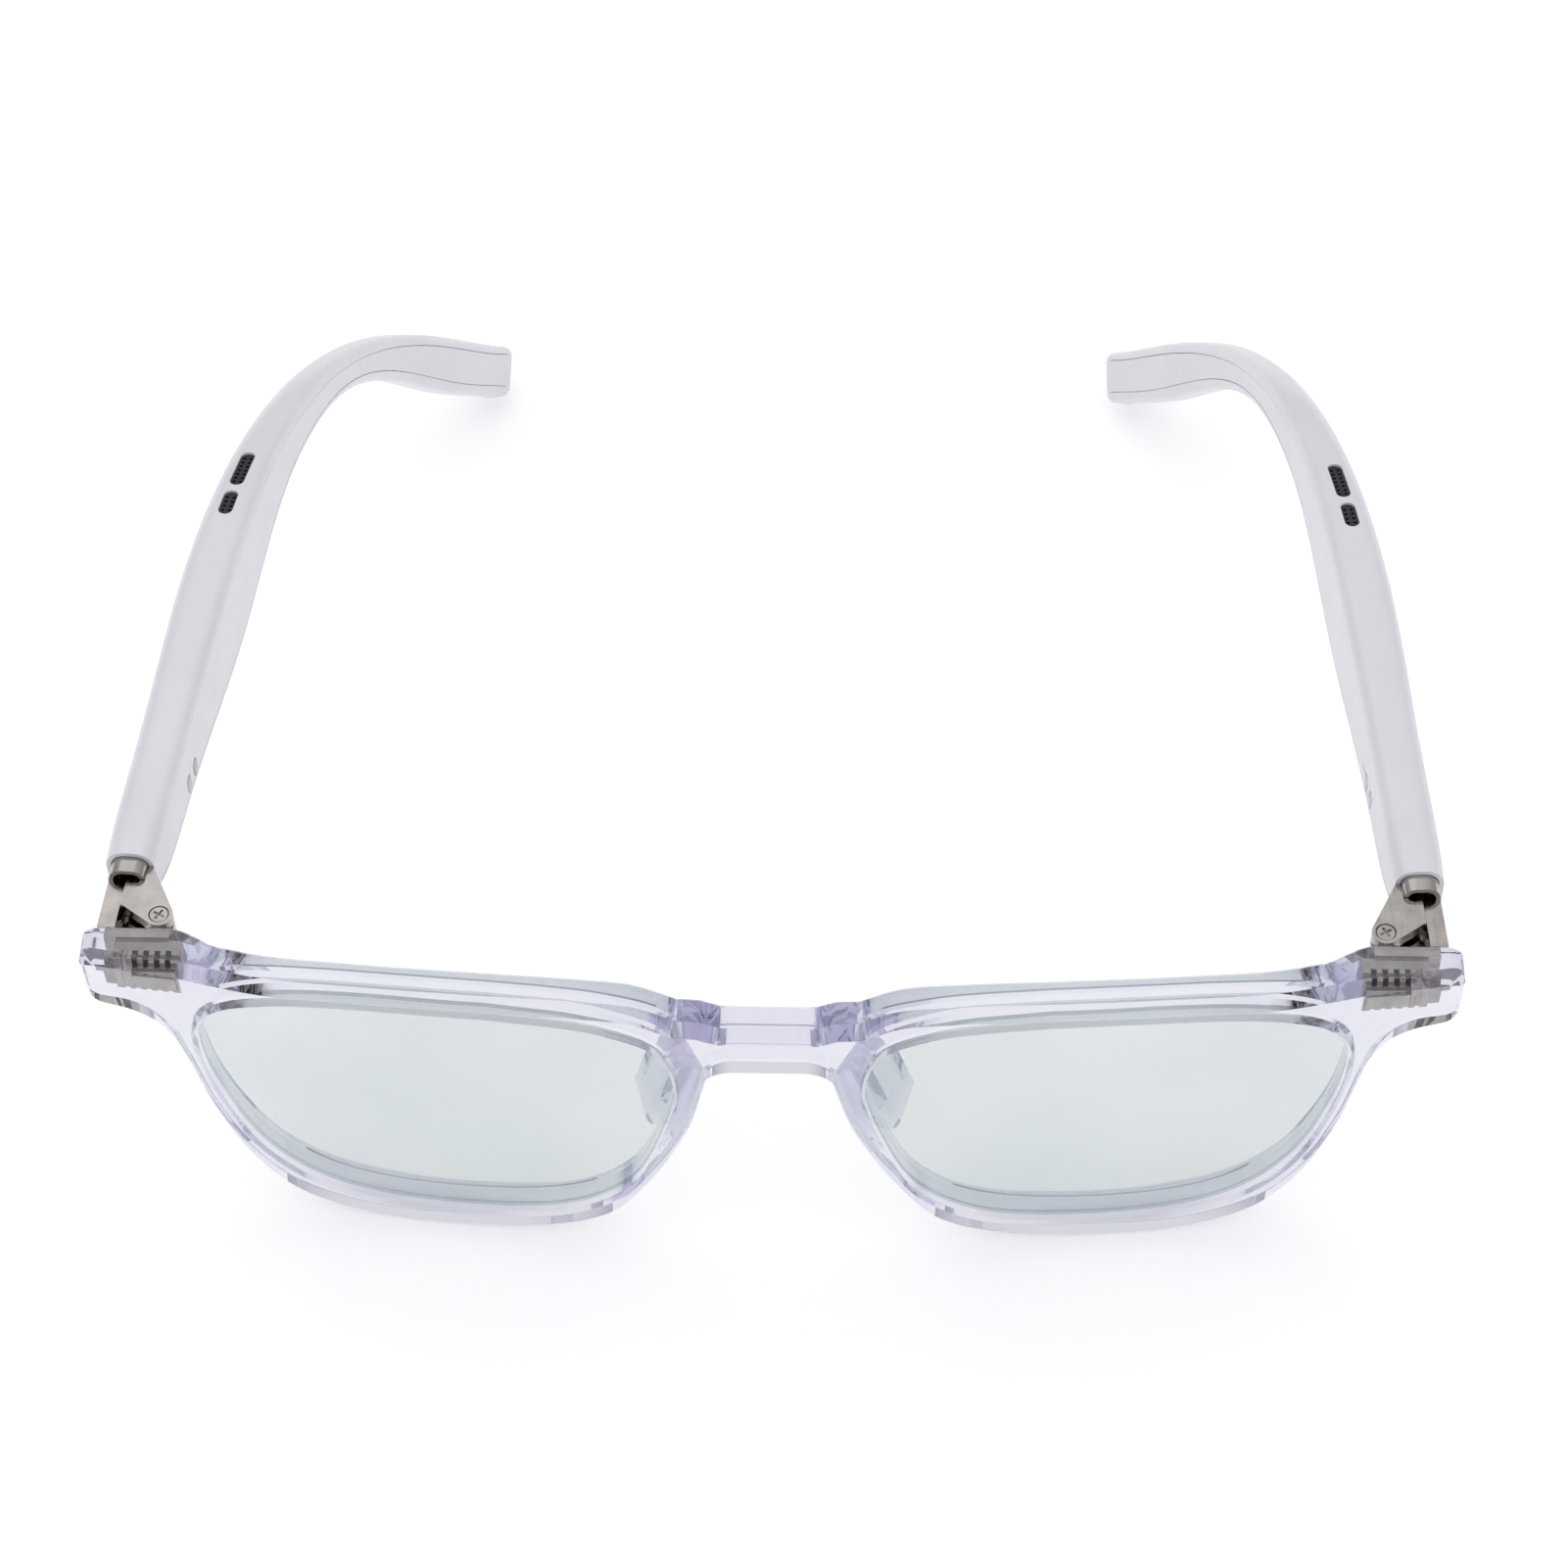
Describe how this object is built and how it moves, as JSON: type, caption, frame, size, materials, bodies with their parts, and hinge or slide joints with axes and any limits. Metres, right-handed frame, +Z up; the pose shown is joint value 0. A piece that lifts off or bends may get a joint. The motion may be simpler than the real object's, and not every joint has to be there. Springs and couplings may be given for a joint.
{
  "type": "smart glasses",
  "caption": "Clear-framed smart audio glasses with a wrapped acetate front, glued nose pads and hollow white temples on spring hinges that fold behind the lenses.",
  "frame": {"origin": "centre of the nose bridge", "axes": "+X to the wearer's left, +Y back towards the ears, +Z up"},
  "size_m": [0.142, 0.1397, 0.0502],
  "materials": {
    "clear_acetate": "polished clear acetate with a faint lavender tint",
    "lens": "clear lens with a faint grey-green tint",
    "hinge_metal": "satin nickel",
    "spring_steel": "drawn wire",
    "white_shell": "glossy off-white",
    "black_mesh": "fine perforated mesh",
    "contact_metal": "dark plated",
    "magnet": "nickel plated",
    "battery_pouch": "crimped foil pouch",
    "circuit_board": "solder mask",
    "black_plastic": "moulded",
    "copper_foil": "polyimide over copper"
  },
  "bodies": {
    "front": {"front_frame": "clear_acetate", "left_lens": "lens", "left_nose_pad": "clear_acetate", "left_hinge_base": "hinge_metal", "right_lens": "lens", "right_nose_pad": "clear_acetate", "right_hinge_base": "hinge_metal"},
    "left_hinge": {"left_hinge_leaf": "hinge_metal", "left_hinge_screw": "hinge_metal", "left_hinge_spring": "spring_steel"},
    "left_temple": {"left_hinge_cap": "hinge_metal", "left_temple_housing": "white_shell", "left_temple_cover": "white_shell", "left_speaker_grille": "black_mesh", "left_charge_contacts": "contact_metal", "left_charge_magnet": "magnet", "left_battery": "battery_pouch", "left_circuit_board": "circuit_board", "left_speaker": "black_plastic", "left_microphone": "contact_metal", "left_touch_sensor": "copper_foil", "left_ribbon_cable": "copper_foil"},
    "right_hinge": {"right_hinge_leaf": "hinge_metal", "right_hinge_screw": "hinge_metal", "right_hinge_spring": "spring_steel"},
    "right_temple": {"right_hinge_cap": "hinge_metal", "right_temple_housing": "white_shell", "right_temple_cover": "white_shell", "right_speaker_grille": "black_mesh", "right_charge_contacts": "contact_metal", "right_charge_magnet": "magnet", "right_battery": "battery_pouch", "right_circuit_board": "circuit_board", "right_speaker": "black_plastic", "right_microphone": "contact_metal", "right_touch_sensor": "copper_foil", "right_ribbon_cable": "copper_foil"}
  },
  "joints": [
    {"name": "left_fold", "type": "hinge", "parent": "front", "child": "left_hinge", "pos_m": [0.0631, 0.0089, 0.0052], "axis": [0, 0, 1], "range_deg": [0, 55]},
    {"name": "left_spring_travel", "type": "slide", "parent": "left_hinge", "child": "left_temple", "axis": [-0.0663, 0.9978, 0], "range_m": [0, 0.0012], "stiffness_N_per_m": 2500, "springref_m": -0.0004, "deforming": ["left_hinge_spring"]},
    {"name": "right_fold", "type": "hinge", "parent": "front", "child": "right_hinge", "pos_m": [-0.0631, 0.0089, 0.0052], "axis": [0, 0, 1], "range_deg": [-74, 0]},
    {"name": "right_spring_travel", "type": "slide", "parent": "right_hinge", "child": "right_temple", "axis": [0.0663, 0.9978, 0], "range_m": [0, 0.0012], "stiffness_N_per_m": 2500, "springref_m": -0.0004, "deforming": ["right_hinge_spring"]}
  ]
}
